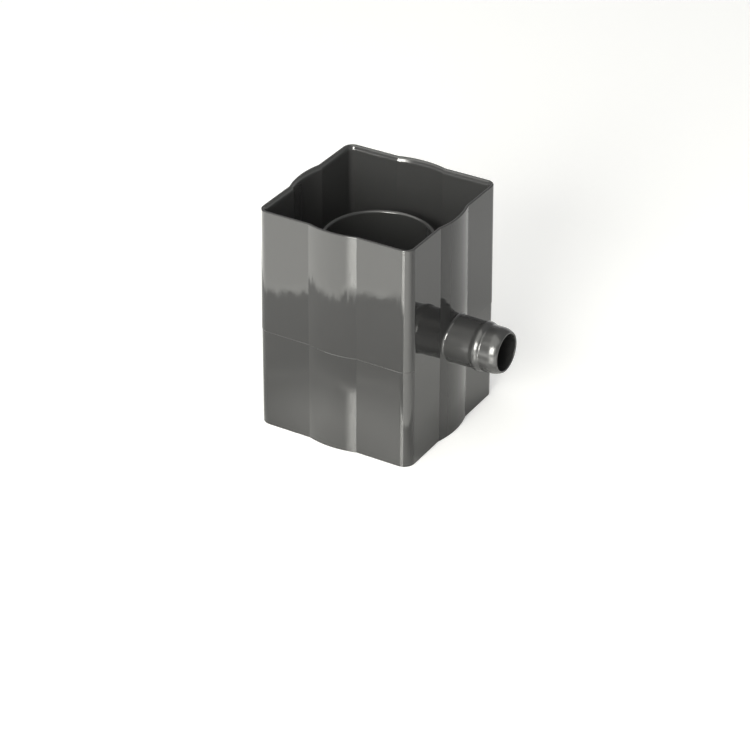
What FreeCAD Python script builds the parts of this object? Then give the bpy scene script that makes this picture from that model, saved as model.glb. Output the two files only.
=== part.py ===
import FreeCAD, Part
import math
import os

# Rainwater diverter for a downpipe: one plastic moulding.
# The upper pipe stands in the top socket, and the lower pipe goes up inside the skirt.
# Water that runs down the pipe walls falls into the trough round the weir tube
# and leaves by the hose spigot. When the butt is full, the trough fills until the
# water goes over the weir tube's rim and down its spout into the lower pipe.
#
# Millimetres. The origin is on the downpipe's axis, in the plane of the skirt's lower rim.
# +Z is up the pipe, and +X is along the spigot.

# Downpipes that the socket and the skirt take
square_pipe = 65.0
round_pipe = 68.0
square_clearance = 0.5
round_clearance = 0.7

# Outer walls
body_height = 98.5
parting_height = 44.0
socket_wall = 2.0
inner_corner_radius = 2.25
outer_draft = 0.65
inner_draft = 0.3
lead_in_width = 1.1
lead_in_height = 1.8

# Hose spigot, with its axis in the parting plane
shank_radius = 10.0
land_radius = 9.7
nose_radius = 8.75
bore_radius = 7.75
spigot_length = 22.45
nose_length = 2.7
barb_from_tip = 8.35
barb_height = 0.35
barb_rise = 0.45
barb_crest = 0.5
barb_slope = 0.9
root_fillet = 1.0

# Weir tube, trough floor and spout
weir_radius = 24.0
weir_wall = 2.0
weir_crown = 0.6
weir_below_rim = 18.5
floor_thickness = 2.2
floor_below_bore = 0.25
spout_length = 20.0

# Ribs that stop the upper pipe above the spigot's bore
pipe_insertion = 36.0
rib_thickness = 1.6
rib_to_weir_gap = 5.5

# Sizes that follow from those above
inner_half = square_pipe / 2 + square_clearance
inner_bulge = round_pipe / 2 + round_clearance
outer_half = inner_half + socket_wall
outer_bulge = inner_bulge + socket_wall
outer_corner_radius = inner_corner_radius + socket_wall
weir_top = body_height - weir_below_rim
weir_bore = weir_radius - weir_wall
floor_top = parting_height - bore_radius - floor_below_bore
floor_bottom = floor_top - floor_thickness
spout_end = floor_bottom - spout_length
spigot_face = outer_bulge + outer_draft
spigot_tip = spigot_face + spigot_length
rib_top = body_height - pipe_insertion
rib_inner = weir_radius + rib_to_weir_gap
overrun = 1.0


def point(x, y, z):
    return FreeCAD.Vector(x, y, z)


def rounded_square(half, corner, z):
    """Outline of a square with rounded corners, level, centred on the pipe axis."""
    flat = half - corner
    middle = flat + corner * math.sqrt(0.5)
    edges = []
    for quarter in range(4):
        side = Part.makeLine(point(half, -flat, z), point(half, flat, z))
        turn = Part.Arc(point(half, flat, z), point(middle, middle, z), point(flat, half, z)).toShape()
        for edge in (side, turn):
            edge.rotate(point(0, 0, 0), point(0, 0, 1), 90 * quarter)
            edges.append(edge)
    return Part.Wire(edges)


def pipe_form(half, bulge, corner, sections):
    """Square form with a round one through it, so that the round one bulges from each flat.

    Each section is a height and how far the outline stands out from the nominal one there.
    """
    outlines = [rounded_square(half + grow, corner + grow, z) for z, grow in sections]
    square = Part.makeLoft(outlines, True, True)
    low, high = sections[0][0], sections[-1][0]
    wall = [point(bulge + grow, 0, z) for z, grow in sections]
    half_section = [point(0, 0, low)] + wall + [point(0, 0, high), point(0, 0, low)]
    rounded = Part.Face(Part.makePolygon(half_section)).revolve(point(0, 0, 0), point(0, 0, 1), 360)
    return square.fuse(rounded).removeSplitter()


def revolve_profile(edges, axis_start, axis_direction):
    """Solid of revolution from the edges of one closed half section."""
    face = Part.Face(Part.Wire(edges))
    return face.revolve(axis_start, axis_direction, 360)


def outer_form():
    """Outside of the walls: drafted from the parting plane to the rim, upright below it."""
    sections = [(0, outer_draft), (parting_height, outer_draft), (body_height, 0)]
    return pipe_form(outer_half, outer_bulge, outer_corner_radius, sections)


def spigot_outside():
    """Outside of the hose spigot: shank, barb, land and rounded nose."""
    barb_end = spigot_tip - barb_from_tip
    crest_end = barb_end - barb_slope
    crest_start = crest_end - barb_crest
    barb_start = crest_start - barb_rise
    crest_radius = shank_radius + barb_height
    nose_start = spigot_tip - nose_length
    root = weir_radius + (inner_half - weir_radius) / 2
    half_turn = math.atan2(land_radius - nose_radius, nose_length)
    nose_curve = nose_length / math.sin(2 * half_turn)
    nose_middle_x = nose_start + nose_curve * math.sin(half_turn)
    nose_middle_r = land_radius - nose_curve * (1 - math.cos(half_turn))

    def at(x, radius):
        return point(x, 0, parting_height + radius)

    edges = [
        Part.makeLine(at(root, 0), at(root, shank_radius)),
        Part.makeLine(at(root, shank_radius), at(barb_start, shank_radius)),
        Part.makeLine(at(barb_start, shank_radius), at(crest_start, crest_radius)),
        Part.makeLine(at(crest_start, crest_radius), at(crest_end, crest_radius)),
        Part.makeLine(at(crest_end, crest_radius), at(barb_end, land_radius)),
        Part.makeLine(at(barb_end, land_radius), at(nose_start, land_radius)),
        Part.Arc(
            at(nose_start, land_radius),
            at(nose_middle_x, nose_middle_r),
            at(spigot_tip, nose_radius),
        ).toShape(),
        Part.makeLine(at(spigot_tip, nose_radius), at(spigot_tip, 0)),
        Part.makeLine(at(spigot_tip, 0), at(root, 0)),
    ]
    return revolve_profile(edges, point(0, 0, parting_height), point(1, 0, 0))


def root_edges(shape):
    """Edges where the spigot's shank meets the outside of the wall."""
    found = []
    for edge in shape.Edges:
        places = [edge.FirstParameter, edge.LastParameter]
        places.append(sum(places) / 2)
        points = [edge.valueAt(place) for place in places]
        distances = [math.hypot(p.y, p.z - parting_height) for p in points]
        on_shank = all(abs(distance - shank_radius) < 0.01 for distance in distances)
        near_wall = all(inner_bulge - socket_wall < p.x < spigot_face + 0.01 for p in points)
        along_axis = abs(points[0].x - points[1].x) > socket_wall
        if on_shank and near_wall and not along_axis:
            found.append(edge)
    return found


def outside_with_spigot():
    """Outer form with the spigot on it, and a fillet all round the spigot's root."""
    joined = outer_form().fuse(spigot_outside())
    return joined.makeFillet(root_fillet, root_edges(joined))


def socket_space():
    """Top socket and trough: a lead-in at the rim, then walls that close in towards the floor."""
    lead_in_start = body_height - lead_in_height
    sections = [(floor_top, -inner_draft), (lead_in_start, 0), (body_height, lead_in_width)]
    return pipe_form(inner_half, inner_bulge, inner_corner_radius, sections)


def skirt_space():
    """Space inside the lower skirt, open below, with walls that close in going up."""
    return pipe_form(inner_half, inner_bulge, inner_corner_radius, [(0, 0), (floor_bottom, -inner_draft)])


def weir_tube():
    """Weir tube with a crowned rim, from its overflow level down to the spout's end."""
    rim_centre = weir_radius - weir_wall / 2
    rim_start = weir_top - weir_crown

    def at(radius, z):
        return point(radius, 0, z)

    edges = [
        Part.makeLine(at(weir_bore, spout_end), at(weir_radius, spout_end)),
        Part.makeLine(at(weir_radius, spout_end), at(weir_radius, rim_start)),
        Part.Arc(at(weir_radius, rim_start), at(rim_centre, weir_top), at(weir_bore, rim_start)).toShape(),
        Part.makeLine(at(weir_bore, rim_start), at(weir_bore, spout_end)),
    ]
    return revolve_profile(edges, point(0, 0, 0), point(0, 0, 1))


def stop_ribs():
    """Four ribs across the trough's corners, clear of the weir tube so that water passes."""
    reach = inner_half * math.sqrt(2)
    ribs = []
    for quarter in range(4):
        rib = Part.makeBox(
            reach - rib_inner, rib_thickness, rib_top - floor_bottom,
            point(rib_inner, -rib_thickness / 2, floor_bottom),
        )
        rib.rotate(point(0, 0, 0), point(0, 0, 1), 45 + 90 * quarter)
        ribs.append(rib)
    return ribs


def diverter_body():
    """The whole moulding."""
    outside = outside_with_spigot()
    walls = outside.cut(socket_space()).cut(skirt_space())
    web_opening = Part.makeCylinder(
        weir_bore + weir_wall / 2, floor_thickness + 2 * overrun, point(0, 0, floor_bottom - overrun)
    )
    ribs = [rib.common(outer_form()) for rib in stop_ribs()]
    body = walls.cut(web_opening).fuse([weir_tube()] + ribs)
    bore_start = (weir_radius + inner_half - inner_draft) / 2
    bore = Part.makeCylinder(
        bore_radius, spigot_tip - bore_start + overrun,
        point(bore_start, 0, parting_height), point(1, 0, 0),
    )
    return body.cut(bore).removeSplitter()


os.makedirs("parts", exist_ok=True)
diverter_body().exportStep("parts/diverter_body.step")
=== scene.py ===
"""Looks of a rainwater diverter: one hollow moulding in glossy anthracite plastic.

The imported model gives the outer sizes. One closed skin with rounded edges and exact normals
stands for the solid here, and the ribs that stop the upper pipe are four blocks inside it.
Lengths are in metres, +Z is up the pipe and +X is along the hose spigot.
"""

import logging
import math
from collections.abc import Callable, Sequence
from dataclasses import dataclass, field, replace
from enum import Enum
from typing import Any

import bpy
import numpy as np
from mathutils import Matrix, Vector


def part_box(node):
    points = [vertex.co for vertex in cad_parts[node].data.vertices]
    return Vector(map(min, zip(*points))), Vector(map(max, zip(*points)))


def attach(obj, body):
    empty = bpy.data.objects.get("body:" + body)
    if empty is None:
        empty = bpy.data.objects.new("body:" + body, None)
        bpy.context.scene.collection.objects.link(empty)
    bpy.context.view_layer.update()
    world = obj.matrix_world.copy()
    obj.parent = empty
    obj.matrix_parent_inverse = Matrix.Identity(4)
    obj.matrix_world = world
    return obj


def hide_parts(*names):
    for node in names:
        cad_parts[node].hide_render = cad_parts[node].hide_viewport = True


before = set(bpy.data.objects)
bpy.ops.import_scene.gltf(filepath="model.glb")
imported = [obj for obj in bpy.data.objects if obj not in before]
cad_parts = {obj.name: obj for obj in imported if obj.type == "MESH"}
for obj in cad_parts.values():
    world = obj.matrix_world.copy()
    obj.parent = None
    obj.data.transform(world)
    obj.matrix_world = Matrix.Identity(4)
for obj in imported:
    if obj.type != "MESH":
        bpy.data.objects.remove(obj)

log = logging.getLogger("diverter")

MM = 0.001
TOLERANCE = 1e-6
NOISE_MEAN = 0.5
LAMP_TINT = (1.0, 0.995, 0.935)
BODY_NODE = "diverter_body"
ROOT_BODY = "root"

Pair = tuple[float, float]
PointsAndNormals = tuple[np.ndarray, np.ndarray]
Place = Callable[[np.ndarray, np.ndarray], np.ndarray]
Wall = Callable[[np.ndarray, np.ndarray], PointsAndNormals]
Socket = bpy.types.NodeSocket


class Finish(Enum):
    """Surface finishes of the moulding, in the order of its material slots."""

    POLISHED = 0
    CORE_SIDE = 1
    SATIN = 2
    RIM = 3


def unit(vectors: np.ndarray) -> np.ndarray:
    """Scales vectors to a length of 1."""
    return vectors / np.linalg.norm(vectors, axis=-1, keepdims=True)


def around(angles: np.ndarray) -> np.ndarray:
    """Lists the unit vectors at given angles."""
    return np.column_stack([np.cos(angles), np.sin(angles)])


def add_object(name: str, data: bpy.types.ID) -> bpy.types.Object:
    """Makes an object.

    Args:
        name: Its name.
        data: Its mesh, lamp or camera.

    Returns:
        The object, linked to the scene.
    """
    made = bpy.data.objects.new(name, data)
    bpy.context.scene.collection.objects.link(made)
    return made


@dataclass(frozen=True)
class PipeOutline:
    """A rounded square with a circle through it, which bulges from the middle of each side.

    Attributes:
        half: Distance from the axis to a flat side.
        bulge: Radius of the circle.
        corner: Radius of the square's corners.
        crease: Radius that blends a bulge into a flat.
        bulge_steps: Spans along one bulge.
        crease_steps: Spans along one crease.
        flat_steps: Spans along one flat.
        corner_steps: Spans round one corner.
    """

    half: float
    bulge: float
    corner: float
    crease: float = 0.25 * MM
    bulge_steps: int = 24
    crease_steps: int = 3
    flat_steps: int = 8
    corner_steps: int = 10

    @property
    def reach(self) -> float:
        """Largest distance from the axis, on the bulges."""
        return self.bulge

    @property
    def corner_reach(self) -> float:
        """Distance from the axis to the middle of a rounded corner."""
        return math.sqrt(2) * (self.half - self.corner) + self.corner

    def ring(self, grow: float = 0.0) -> PointsAndNormals:
        """Makes the outline, anticlockwise from the start of the bulge on +X.

        Args:
            grow: How far the outline stands out from the nominal one.

        Returns:
            The points and their outward normals, one row each.
        """
        half, bulge, corner = self.half + grow, self.bulge + grow, self.corner + grow
        along = half + self.crease
        across = math.sqrt((bulge + self.crease) ** 2 - along ** 2)
        turn = math.atan2(across, along)
        flat_end = half - corner
        square = math.pi / 2
        flat = np.linspace(across, flat_end, self.flat_steps + 1)[1:]

        def arc(x: float, y: float, radius: float, sweep: np.ndarray) -> np.ndarray:
            """Lists x, y and the normal's angle along an arc. A hollow arc has a negative radius."""
            return np.column_stack([x + radius * np.cos(sweep), y + radius * np.sin(sweep), sweep])

        quarter = np.vstack([
            arc(0.0, 0.0, bulge, np.linspace(-turn, turn, self.bulge_steps + 1)),
            arc(along, across, -self.crease, np.linspace(turn, 0.0, self.crease_steps + 1)[1:]),
            np.column_stack([np.full_like(flat, half), flat, np.zeros_like(flat)]),
            arc(flat_end, flat_end, corner, np.linspace(0.0, square, self.corner_steps + 1)[1:]),
            np.column_stack([across + flat_end - flat, np.full_like(flat, half), np.full_like(flat, square)]),
            arc(across, along, -self.crease, np.linspace(square, square - turn, self.crease_steps + 1)[1:-1]),
        ])
        points, angles = [], []
        for turned in np.arange(4) * square:
            cosine, sine = math.cos(turned), math.sin(turned)
            points.append(quarter[:, :2] @ np.array([[cosine, sine], [-sine, cosine]]))
            angles.append(quarter[:, 2] + turned)
        return np.vstack(points), around(np.concatenate(angles))


@dataclass(frozen=True)
class RoundOutline:
    """A circle whose points lie on given spokes, so that it meets another ring point for point.

    Attributes:
        radius: Radius of the circle.
        spokes: Unit vectors from the axis to the points.
    """

    radius: float
    spokes: np.ndarray = field(repr=False, compare=False)

    @property
    def reach(self) -> float:
        """Largest distance from the axis."""
        return self.radius

    def ring(self, grow: float = 0.0) -> PointsAndNormals:
        """Returns the points and outward normals of the circle, grown by the given length."""
        return self.spokes * (self.radius + grow), self.spokes


Outline = PipeOutline | RoundOutline


@dataclass(frozen=True)
class Corner:
    """A corner of a section through the wall.

    Attributes:
        outline: The outline that the corner follows.
        grow: How far it stands out from that outline.
        height: Its place along the axis.
        blend: Radius of its rounding, or 0 for a sharp corner.
    """

    outline: Outline
    grow: float
    height: float
    blend: float = 0.0


@dataclass(frozen=True)
class Station:
    """One ring of the skin.

    Attributes:
        outline: The outline that it follows.
        grow: How far it stands out from that outline.
        height: Its place along the axis.
        tilt: Angle of its normal above the outline's own plane.
    """

    outline: Outline
    grow: float
    height: float
    tilt: float


def heading(start: Corner, end: Corner) -> np.ndarray:
    """Finds the direction from one corner to the next.

    Args:
        start: The first corner.
        end: The second corner. Where it follows another outline, the way to it is level.

    Returns:
        Growth and height of a step of length 1.
    """
    if start.outline is end.outline:
        return unit(np.array([end.grow - start.grow, end.height - start.height]))
    return np.array([math.copysign(1.0, end.outline.reach - start.outline.reach), 0.0])


def round_corner(before: Corner, corner: Corner, after: Corner, steps: int = 6) -> list[Station]:
    """Makes the stations round one corner of a section that is walked with the material on its left.

    Args:
        before: The corner before it, along the section.
        corner: The corner to round.
        after: The corner after it.
        steps: Spans of the rounding.

    Returns:
        Stations from the end of the straight before the corner to the start of the one after it.
    """
    arrive, leave = heading(before, corner), heading(corner, after)
    first = math.atan2(-arrive[0], arrive[1])
    turn = math.atan2(arrive[0] * leave[1] - arrive[1] * leave[0], float(arrive @ leave))
    radius = math.copysign(corner.blend, turn)
    tilts = np.linspace(first, first + turn, steps + 1 if corner.blend else 2)
    start = np.array([corner.grow, corner.height]) - arrive * corner.blend * math.tan(abs(turn) / 2)
    centre = start - radius * np.array([math.cos(first), math.sin(first)])
    return [
        Station(
            corner.outline,
            centre[0] + radius * math.cos(tilt),
            centre[1] + radius * math.sin(tilt),
            tilt,
        )
        for tilt in tilts
    ]


def round_section(corners: Sequence[Corner], closed: bool) -> list[Station]:
    """Makes the stations of a whole section.

    Args:
        corners: Its corners, in order. The two end corners of an open section only aim it.
        closed: Whether the last corner leads back to the first.

    Returns:
        The stations, in order.
    """
    count = len(corners)
    inside = range(count) if closed else range(1, count - 1)
    stations = []
    for i in inside:
        stations += round_corner(corners[i - 1], corners[i], corners[(i + 1) % count])
    return stations


def with_rows(stations: Sequence[Station], outline: Outline, heights: Sequence[float]) -> list[Station]:
    """Adds stations wherever a straight run of one outline crosses given heights.

    Args:
        stations: The stations so far, in order.
        outline: The outline.
        heights: The heights.

    Returns:
        The stations, with the new ones among them.
    """
    result = [stations[0]]
    for start, end in zip(stations, stations[1:]):
        rise = end.height - start.height
        same_outline = start.outline is outline and end.outline is outline
        straight = same_outline and abs(start.tilt - end.tilt) < TOLERANCE
        if straight and rise:
            shares = sorted((height - start.height) / rise for height in heights)
            for share in (s for s in shares if TOLERANCE < s < 1 - TOLERANCE):
                result.append(Station(
                    outline,
                    start.grow + share * (end.grow - start.grow),
                    start.height + share * rise,
                    start.tilt,
                ))
        result.append(end)
    return result


def upright(across: np.ndarray, along: np.ndarray) -> np.ndarray:
    """Puts vectors given across and along the pipe axis in the frame."""
    return np.column_stack([across, along])


def sideways(across: np.ndarray, along: np.ndarray) -> np.ndarray:
    """Puts vectors given across and along the spigot's axis in the frame."""
    return np.column_stack([along, across])


@dataclass
class Sheet:
    """A grid of points with their normals, one row for each station.

    Attributes:
        points: Array of rows, columns and coordinates.
        normals: Array of the same shape.
    """

    points: np.ndarray
    normals: np.ndarray

    @classmethod
    def along(cls, stations: Sequence[Station], place: Place) -> "Sheet":
        """Lays stations one after another.

        Args:
            stations: The rings, in order.
            place: Puts vectors given in the ring's plane and along its axis in the frame.

        Returns:
            The sheet through the rings.
        """
        points, normals = [], []
        for station in stations:
            ring, facing = station.outline.ring(station.grow)
            points.append(place(ring, np.full(len(ring), station.height)))
            lift = np.full(len(ring), math.sin(station.tilt))
            normals.append(place(facing * math.cos(station.tilt), lift))
        return cls(np.array(points), np.array(normals))

    @classmethod
    def joined(cls, *sheets: "Sheet") -> "Sheet":
        """Puts the rows of several sheets in one."""
        points, normals = zip(*((sheet.points, sheet.normals) for sheet in sheets))
        return cls(np.concatenate(points), np.concatenate(normals))

    def rows(self, first: int, end: int | None = None) -> "Sheet":
        """Returns the sheet's rows from the first one up to, not including, the end."""
        return Sheet(self.points[first:end], self.normals[first:end])

    def raised(self, height: float) -> "Sheet":
        """Returns the sheet lifted by a height."""
        return Sheet(self.points + np.array([0.0, 0.0, height]), self.normals)

    def mixed(self, other: "Sheet", share: np.ndarray) -> "Sheet":
        """Mixes in another sheet.

        Args:
            other: A sheet with the same rows and columns.
            share: How much of the other sheet each column takes.

        Returns:
            The mixed sheet.
        """
        weight = share[:, None]
        points = self.points + (other.points - self.points) * weight
        return Sheet(points, unit(self.normals + (other.normals - self.normals) * weight))


@dataclass(frozen=True)
class Window:
    """A block of a sheet's quads that is left out, for another sheet to join.

    Attributes:
        first_row: First row of its edge.
        last_row: Last row of its edge.
        last_column: Last column of its edge. The first is column 0.
    """

    first_row: int
    last_row: int
    last_column: int

    @property
    def rows(self) -> int:
        """Number of rows of points, both edges included."""
        return self.last_row - self.first_row + 1

    def moved(self, rows: int) -> "Window":
        """Returns the window moved along by a number of rows."""
        return Window(self.first_row + rows, self.last_row + rows, self.last_column)

    def holds(self, row: int, column: int) -> bool:
        """Says whether the quad that starts at a row and column is inside."""
        return self.first_row <= row < self.last_row and column < self.last_column

    def edge(self, sheet: Sheet) -> Sheet:
        """Takes the points round the window as one row.

        Args:
            sheet: The sheet that the window is in.

        Returns:
            The row, anticlockwise from the window's lowest first corner.
        """
        block = np.concatenate([sheet.points, sheet.normals], axis=2)
        block = block[self.first_row:self.last_row + 1, :self.last_column + 1]
        if block[0, 0, 2] > block[-1, 0, 2]:
            block = block[::-1]
        edge = np.vstack([block[0, :-1], block[:-1, -1], block[-1, :0:-1], block[:0:-1, 0]])
        return Sheet(edge[None, :, :3], edge[None, :, 3:])


class Skin:
    """Collects quads with exact corner normals, and welds the points that meet."""

    WELD = 1e-8

    def __init__(self) -> None:
        """Starts with no points and no faces."""
        self._index: dict[tuple[int, ...], int] = {}
        self._points: list[np.ndarray] = []
        self._faces: list[list[int]] = []
        self._normals: list[np.ndarray] = []
        self._finishes: list[int] = []

    def _weld(self, point: np.ndarray) -> int:
        """Numbers a point.

        Args:
            point: The point.

        Returns:
            Its number, which is the old one where there is a point at this place already.
        """
        key = tuple(round(coordinate / self.WELD) for coordinate in point)
        if key not in self._index:
            self._index[key] = len(self._points)
            self._points.append(point)
        return self._index[key]

    def add(self, sheet: Sheet, finish: Finish, closed: bool = True, window: Window | None = None) -> None:
        """Adds the quads of a sheet, wound to face the way that its normals do.

        Args:
            sheet: The grid of points and normals.
            finish: The finish of its faces.
            closed: Whether the last column joins the first.
            window: Quads to leave out.
        """
        rows, columns = sheet.points.shape[:2]
        numbers = [[self._weld(point) for point in row] for row in sheet.points]
        for row in range(rows - 1):
            for column in range(columns if closed else columns - 1):
                if window and window.holds(row, column):
                    continue
                after = (column + 1) % columns
                cells = [(row, column), (row, after), (row + 1, after), (row + 1, column)]
                self._add_quad(sheet, [(numbers[i][j], (i, j)) for i, j in cells], finish)

    def _add_quad(self, sheet: Sheet, cells: list[tuple[int, tuple[int, int]]], finish: Finish) -> None:
        """Adds one quad, or the triangle that is left of it where two of its points are welded.

        Args:
            sheet: The grid of points and normals.
            cells: The number of each corner's point, with its row and column.
            finish: The finish of the face.
        """
        kept = [cell for i, cell in enumerate(cells) if cell[0] != cells[i - 1][0]]
        if len({number for number, _ in kept}) < 3:
            return
        corners = [sheet.points[at] for _, at in kept]
        normals = [sheet.normals[at] for _, at in kept]
        area = np.cross(corners[1] - corners[0], corners[2] - corners[0])
        area = area + np.cross(corners[2] - corners[0], corners[-1] - corners[0])
        if area @ sum(normals) < 0:
            kept.reverse()
            normals.reverse()
        self._faces.append([number for number, _ in kept])
        self._normals.extend(normals)
        self._finishes.append(finish.value)

    def build(self, name: str, materials: Sequence[bpy.types.Material]) -> bpy.types.Object:
        """Makes the object.

        Args:
            name: Its name.
            materials: One material for each finish, in the order of Finish.

        Returns:
            The object, linked to the scene.
        """
        mesh = bpy.data.meshes.new(name)
        mesh.from_pydata([tuple(point) for point in self._points], [], self._faces)
        for material in materials:
            mesh.materials.append(material)
        mesh.polygons.foreach_set("material_index", self._finishes)
        mesh.polygons.foreach_set("use_smooth", [True] * len(self._faces))
        mesh.update()
        mesh.normals_split_custom_set([tuple(normal) for normal in unit(np.array(self._normals))])
        return add_object(name, mesh)


@dataclass
class Walls:
    """The square-and-round walls: socket above, skirt below, and the fine step of the parting line.

    Attributes:
        height: Height of the moulding.
        reach: Radius of the bulges at the parting line.
        draft: How much the walls stand out there, compared with the rim.
        parting_height: Height of the parting line.
        thickness: Thickness at the rim.
        bulge_rise: How far a bulge stands out from its flat.
        corner_radius: Radius of the outer corners at the rim.
        parting_step: How far the lower half is set in at the parting line.
        parting_rise: Height over which it steps out again.
        parting_blend: Radius of the step's upper edge.
        step_fade: Length beside the spigot over which the step fades out.
        inner_crease: Radius that blends the inside of a bulge into its flat.
        inner_draft: How much the inside closes in towards the web.
        lead_in_width: Width of the lead-in at the rim.
        lead_in_height: Height of the lead-in.
        lead_in_blend: Radius that blends the lead-in into the inside.
        lead_in_rows: Rows of the inside that the rim's finish reaches down.
        rim_blend: Radius of the rim's inner edge.
        edge_blend: Radius of the small edges.
    """

    height: float
    reach: float
    draft: float = 0.65 * MM
    parting_height: float = 44.0 * MM
    thickness: float = 2.0 * MM
    bulge_rise: float = 1.7 * MM
    corner_radius: float = 4.25 * MM
    parting_step: float = 0.15 * MM
    parting_rise: float = 0.3 * MM
    parting_blend: float = 0.12 * MM
    step_fade: float = 6.0 * MM
    inner_crease: float = 2.5 * MM
    inner_draft: float = 0.3 * MM
    lead_in_width: float = 1.0 * MM
    lead_in_height: float = 1.3 * MM
    lead_in_blend: float = 4.0 * MM
    lead_in_rows: int = 13
    rim_blend: float = 0.45 * MM
    edge_blend: float = 0.3 * MM

    def __post_init__(self) -> None:
        """Works out the two outlines."""
        bulge = self.reach - self.draft
        half = bulge - self.bulge_rise
        self.outer = PipeOutline(half, bulge, self.corner_radius)
        inner_sizes = (size - self.thickness for size in (half, bulge, self.corner_radius))
        self.inner = PipeOutline(*inner_sizes, crease=self.inner_crease)

    @property
    def taper(self) -> float:
        """How much the outside closes in for each unit of height above the parting line."""
        return self.draft / (self.height - self.parting_height)

    def plain(self, station: Station) -> Station:
        """Moves a station to a wall that has no parting step. The roundings of both rims stay.

        Args:
            station: The station.

        Returns:
            The station on that wall.
        """
        if not self.edge_blend <= station.height <= self.height - self.edge_blend:
            return station
        above = max(station.height - self.parting_height, 0.0)
        tilt = math.atan(self.taper) if above else 0.0
        return Station(station.outline, self.draft - self.taper * above, station.height, tilt)

    def outside_sheet(self, stations: Sequence[Station]) -> Sheet:
        """Lays the outside, with a parting step that fades out beside the spigot.

        Args:
            stations: The stations of the outside, in order.

        Returns:
            The sheet.
        """
        ring, _ = self.outer.ring()
        past_bulge = np.abs(ring[:, 1]) - ring[self.outer.bulge_steps, 1]
        near = 1.0 - np.clip(past_bulge / self.step_fade, 0.0, 1.0)
        share = np.where(ring[:, 0] > self.inner.half, near * near * (3 - 2 * near), 0.0)
        stepless = Sheet.along([self.plain(station) for station in stations], upright)
        return Sheet.along(stations, upright).mixed(stepless, share)

    def outer_bulge(self, y: np.ndarray, z: np.ndarray) -> PointsAndNormals:
        """Finds the outside of the bulge on +X.

        Args:
            y: Places across the bulge.
            z: Heights.

        Returns:
            The points there and the outward normals.
        """
        above = np.maximum(z - self.parting_height, 0.0)
        radius = self.outer.bulge + self.draft - self.taper * above
        x = np.sqrt(radius ** 2 - y ** 2)
        lift = np.where(above > 0, self.taper, 0.0)
        return np.stack([x, y, z], -1), unit(np.stack([x / radius, y / radius, lift], -1))

    def inner_bulge(self, y: np.ndarray, z: np.ndarray, floor: float) -> PointsAndNormals:
        """Finds the inside of the bulge on +X.

        Args:
            y: Places across the bulge.
            z: Heights.
            floor: Height of the trough's floor, where the draft starts.

        Returns:
            The points there and the normals, which face the pipe axis.
        """
        taper = self.inner_draft / (self.height - self.lead_in_height - floor)
        radius = self.inner.bulge - self.inner_draft + taper * (z - floor)
        x = np.sqrt(radius ** 2 - y ** 2)
        return np.stack([x, y, z], -1), unit(np.stack([-x / radius, -y / radius, np.full_like(x, taper)], -1))

    def outside(self) -> list[Corner]:
        """Lists the corners of the outside.

        Returns:
            The corners, from the lower rim up to the socket's rim.
        """
        return [
            Corner(self.outer, self.draft, 0.0, self.edge_blend),
            Corner(self.outer, self.draft - self.parting_step, self.parting_height),
            Corner(self.outer, self.draft, self.parting_height + self.parting_rise, self.parting_blend),
            Corner(self.outer, 0.0, self.height, self.edge_blend),
        ]

    def socket(self, floor: float) -> list[Corner]:
        """Lists the corners of the socket's inside.

        Args:
            floor: Height of the trough's floor.

        Returns:
            The corners, from the rim down to the floor.
        """
        return [
            Corner(self.inner, self.lead_in_width, self.height, self.rim_blend),
            Corner(self.inner, 0.0, self.height - self.lead_in_height, self.lead_in_blend),
            Corner(self.inner, -self.inner_draft, floor),
        ]

    def skirt(self, ceiling: float) -> list[Corner]:
        """Lists the corners of the skirt's inside.

        Args:
            ceiling: Height of the web's underside.

        Returns:
            The corners, from the web down to the lower rim.
        """
        return [
            Corner(self.inner, -self.inner_draft, ceiling, self.edge_blend),
            Corner(self.inner, 0.0, 0.0, self.edge_blend),
        ]


@dataclass
class Weir:
    """The weir tube, with the trough's floor outside it and the spout below.

    Attributes:
        rim: Height of the socket's rim.
        below_rim: How far the overflow lies below it.
        radius: Outer radius of the tube.
        thickness: Thickness of the tube.
        floor: Height of the trough's floor.
        web: Thickness of the floor.
        spout: Length of the spout below the web.
        foot_blend: Radius that blends the tube into the web.
        edge_blend: Radius of the spout's edges.
    """

    rim: float
    below_rim: float = 18.5 * MM
    radius: float = 24.0 * MM
    thickness: float = 2.0 * MM
    floor: float = 36.0 * MM
    web: float = 2.2 * MM
    spout: float = 20.0 * MM
    foot_blend: float = 0.8 * MM
    edge_blend: float = 0.3 * MM

    @property
    def ceiling(self) -> float:
        """Height of the web's underside."""
        return self.floor - self.web

    def section(self, spokes: np.ndarray) -> list[Corner]:
        """Lists the corners of the tube.

        Args:
            spokes: Unit vectors from the axis to the points of its rings.

        Returns:
            The corners, from the floor over the tube's top and down its bore to the web's underside.
        """
        outside = RoundOutline(self.radius, spokes)
        inside = RoundOutline(self.radius - self.thickness, spokes)
        crown = self.thickness / 2
        top, end = self.rim - self.below_rim, self.ceiling - self.spout
        return [
            Corner(outside, 0.0, self.floor, self.foot_blend),
            Corner(outside, 0.0, top, crown),
            Corner(inside, 0.0, top, crown),
            Corner(inside, 0.0, end, self.edge_blend),
            Corner(outside, 0.0, end, self.edge_blend),
            Corner(outside, 0.0, self.ceiling, self.foot_blend),
        ]


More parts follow.
